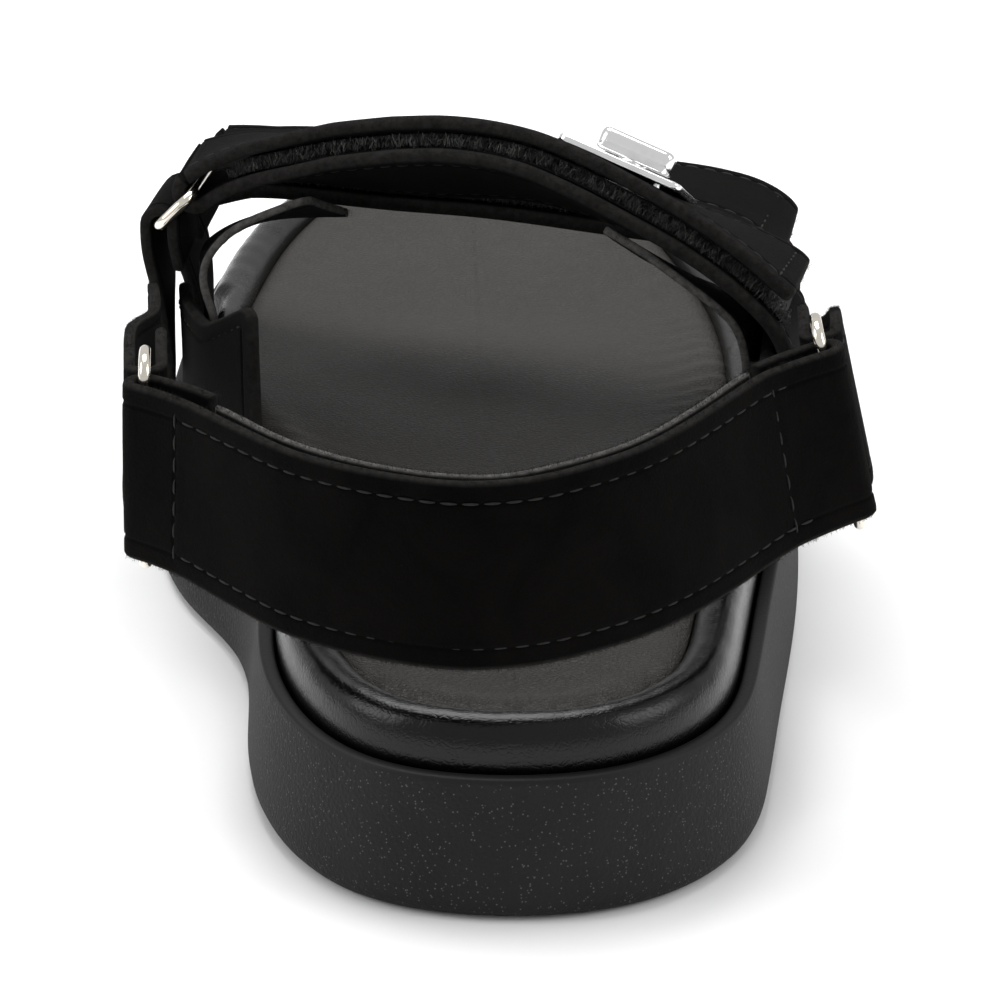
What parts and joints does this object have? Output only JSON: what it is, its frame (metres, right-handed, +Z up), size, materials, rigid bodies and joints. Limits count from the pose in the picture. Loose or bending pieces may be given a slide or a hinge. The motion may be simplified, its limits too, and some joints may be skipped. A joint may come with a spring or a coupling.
{
  "type": "strappy sport sandal",
  "caption": "Right-foot strappy sport sandal: cup sole with padded footbed, heel strap on wire rings, two hook-and-loop straps and a turn-lock clasp.",
  "frame": {"origin": "on the ground under the middle of the heel seat", "axes": "+Z up, +Y towards the toe, +X towards the outer (lateral) side of the right foot"},
  "size_m": [0.1089, 0.2652, 0.0816],
  "materials": {
    "rubber": "matte pebbled rubber",
    "foam": "closed-cell foam",
    "board": "fibre board",
    "footbed_leather": "fine-grained leather, soft sheen",
    "roll_leather": "smooth glossy leather",
    "suede": "black suede",
    "suede_lining": "suede lining",
    "loop_tape": "black loop pile",
    "hook_tape": "black hooks",
    "ring_metal": "polished light nickel",
    "clasp_metal": "polished silver"
  },
  "bodies": {
    "sandal": {"cup_outsole": "rubber", "midsole_filler": "foam", "insole_board": "board", "footbed_foam": "foam", "footbed_cover": "footbed_leather", "footbed_roll": "roll_leather", "medial_quarter": "suede", "lateral_quarter": "suede", "medial_wing": "suede_lining", "lateral_wing": "suede_lining", "instep_strap": "suede", "instep_loop_tape": "loop_tape", "toe_strap": "suede", "toe_loop_tape": "loop_tape", "medial_heel_tab": "suede", "lateral_heel_tab": "suede", "medial_instep_tab": "suede", "medial_toe_tab": "suede"},
    "instep_flap": {"instep_flap": "suede", "instep_hook_tape": "hook_tape", "clasp_plate": "clasp_metal", "clasp_posts": "clasp_metal", "clasp_backing": "clasp_metal"},
    "turn_button": {"turn_button": "clasp_metal"},
    "toe_flap": {"toe_flap": "suede", "toe_hook_tape": "hook_tape"},
    "heel_strap": {"heel_strap": "suede", "heel_strap_lining": "suede_lining", "medial_heel_ring": "ring_metal", "lateral_heel_ring": "ring_metal"},
    "instep_ring": {"instep_ring": "ring_metal"},
    "toe_ring": {"toe_ring": "ring_metal"}
  },
  "joints": [
    {"name": "instep_flap_open", "type": "hinge", "parent": "sandal", "child": "instep_flap", "pos_m": [-0.04886, 0.09594, 0.06618], "axis": [-0.0855, -0.989, 0.1208], "range_deg": [0, 110]},
    {"name": "toe_flap_open", "type": "hinge", "parent": "sandal", "child": "toe_flap", "pos_m": [-0.04694, 0.12789, 0.05744], "axis": [-0.1054, -0.9926, 0.0606], "range_deg": [0, 110]},
    {"name": "turn_button_turn", "type": "hinge", "parent": "instep_flap", "child": "turn_button", "pos_m": [0.01751, 0.07045, 0.07136], "axis": [0.4112, 0.3244, 0.8518], "range_deg": [0, 90]},
    {"name": "heel_strap_tilt", "type": "hinge", "parent": "sandal", "child": "heel_strap", "pos_m": [-0.0513, 0.00832, 0.05162], "axis": [0.9968, 0.0755, 0.0258], "range_deg": [-2.5, 2.5]},
    {"name": "instep_ring_rock", "type": "hinge", "parent": "sandal", "child": "instep_ring", "pos_m": [-0.05293, 0.09532, 0.05762], "axis": [0.0825, 0.9897, -0.1168], "range_deg": [-2, 2]},
    {"name": "toe_ring_rock", "type": "hinge", "parent": "sandal", "child": "toe_ring", "pos_m": [-0.05213, 0.12803, 0.04882], "axis": [0.1024, 0.9931, -0.0572], "range_deg": [-2, 2]}
  ]
}
